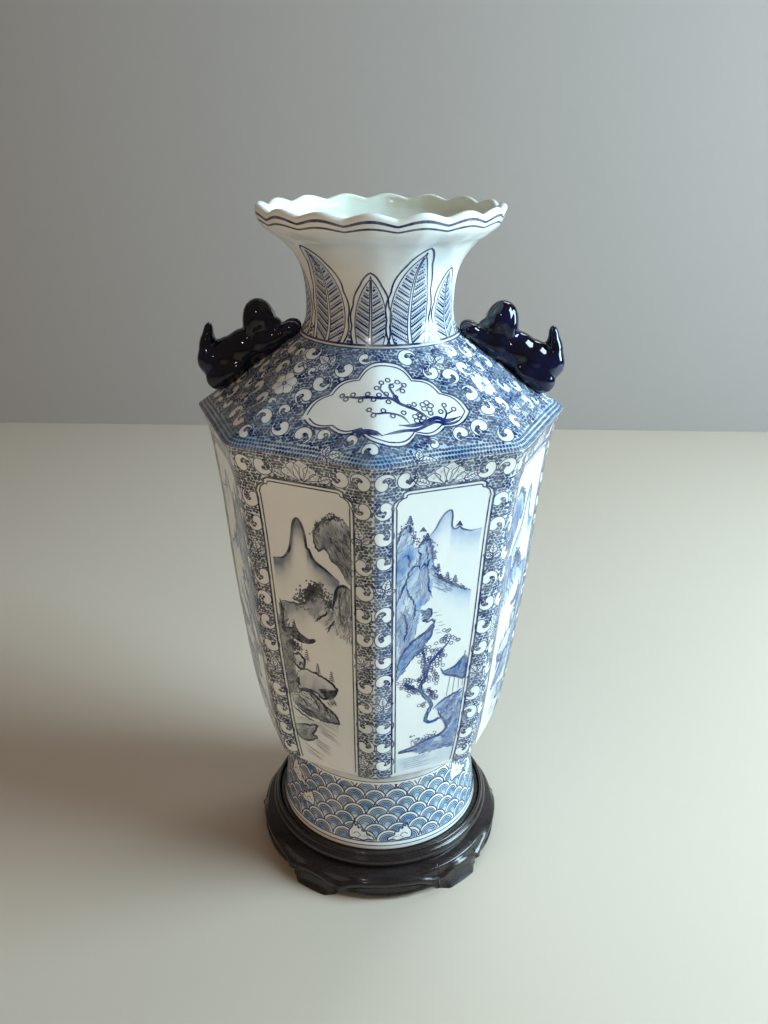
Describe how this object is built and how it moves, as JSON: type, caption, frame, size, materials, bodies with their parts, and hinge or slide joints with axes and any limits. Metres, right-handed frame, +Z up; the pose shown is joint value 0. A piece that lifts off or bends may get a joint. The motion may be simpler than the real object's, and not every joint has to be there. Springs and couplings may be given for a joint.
{
  "type": "porcelain vase",
  "caption": "Eight-sided blue-and-white porcelain vase with scalloped flared neck and crouching-lion handles, standing loose on a carved dark hardwood stand.",
  "frame": {"origin": "centre of the footprint on the surface the stand rests on", "axes": "+Z up along the vase's axis; -Y the front corner between two painted panels; the handles lie on -X and +X"},
  "size_m": [0.2314, 0.23, 0.4503],
  "materials": {
    "porcelain": "clear gloss glaze over hand-painted cobalt blue",
    "cobalt_glaze": "thick near-black cobalt gloss glaze",
    "stand_wood": "dark stained and polished carved hardwood"
  },
  "bodies": {
    "stand": {"stand_rim": "stand_wood", "stand_seat": "stand_wood", "stand_apron": "stand_wood", "stand_foot_1": "stand_wood", "stand_foot_2": "stand_wood", "stand_foot_3": "stand_wood", "stand_foot_4": "stand_wood", "stand_foot_5": "stand_wood"},
    "vase": {"neck": "porcelain", "shoulder": "porcelain", "body_wall": "porcelain", "foot_ring": "porcelain", "base_floor": "porcelain", "handle_left": "cobalt_glaze", "handle_right": "cobalt_glaze"}
  },
  "joints": [
    {"name": "vase_lift", "type": "slide", "parent": "stand", "child": "vase", "axis": [0, 0, 1], "range_m": [0, 0.06]}
  ]
}
